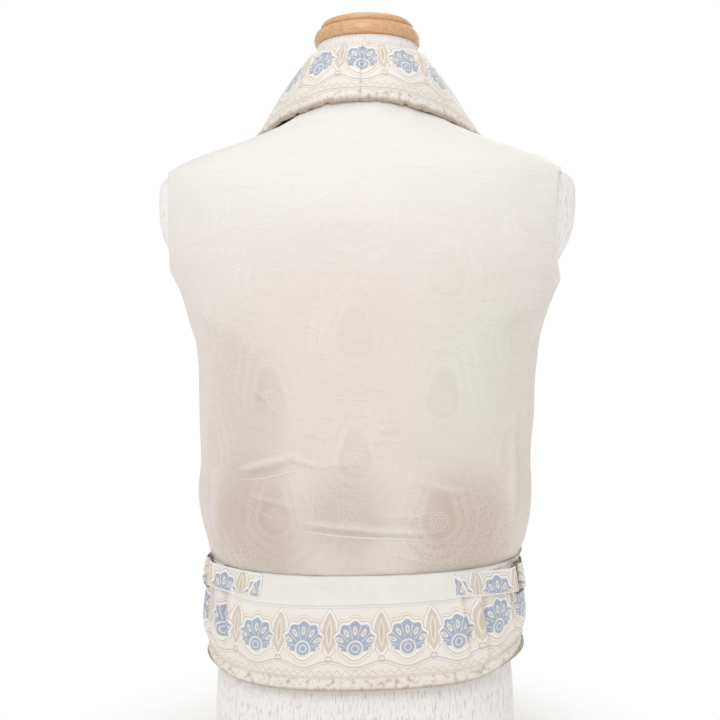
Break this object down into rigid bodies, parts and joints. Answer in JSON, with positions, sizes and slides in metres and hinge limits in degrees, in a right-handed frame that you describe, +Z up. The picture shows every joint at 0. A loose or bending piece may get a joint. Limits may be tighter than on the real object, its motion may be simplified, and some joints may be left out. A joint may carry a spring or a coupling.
{
  "type": "padded vest on a dress form",
  "caption": "Padded sleeveless vest with a turned-down collar, a wide printed hem band and ringed side tabs, standing on a limbless dress form with a wooden neck cap.",
  "frame": {"origin": "on the ground under the middle of the whole", "axes": "+Z up, -Y towards the front with the buttons, +X towards the wearer's left"},
  "size_m": [0.4144, 0.275, 0.7773],
  "materials": {
    "body_cloth": "smooth padded satin-faced cotton with a fine tone-on-tone print",
    "border_cloth": "the same padded cloth with a pale blue and taupe border print",
    "form_linen": "slubby plain-weave linen",
    "form_beech": "turned and satin-varnished beech",
    "antique_brass": "dark antique brass",
    "button_shell": "glossy cream buttons"
  },
  "bodies": {
    "root": {"back_panel": "body_cloth", "front_panel_left": "body_cloth", "front_panel_right": "body_cloth", "band_back": "border_cloth", "band_front_left": "border_cloth", "band_front_right": "border_cloth", "collar_left": "border_cloth", "collar_right": "border_cloth", "tab_left_back": "border_cloth", "tab_left_front": "border_cloth", "tab_right_back": "border_cloth", "tab_right_front": "border_cloth", "ring_left": "antique_brass", "ring_right": "antique_brass", "button_1": "button_shell", "button_2": "button_shell", "button_3": "button_shell", "button_4": "button_shell", "button_5": "button_shell", "button_6": "button_shell", "button_7": "button_shell", "form_torso": "form_linen", "form_neck_cap": "form_beech", "form_base_board": "form_beech"}
  },
  "joints": []
}
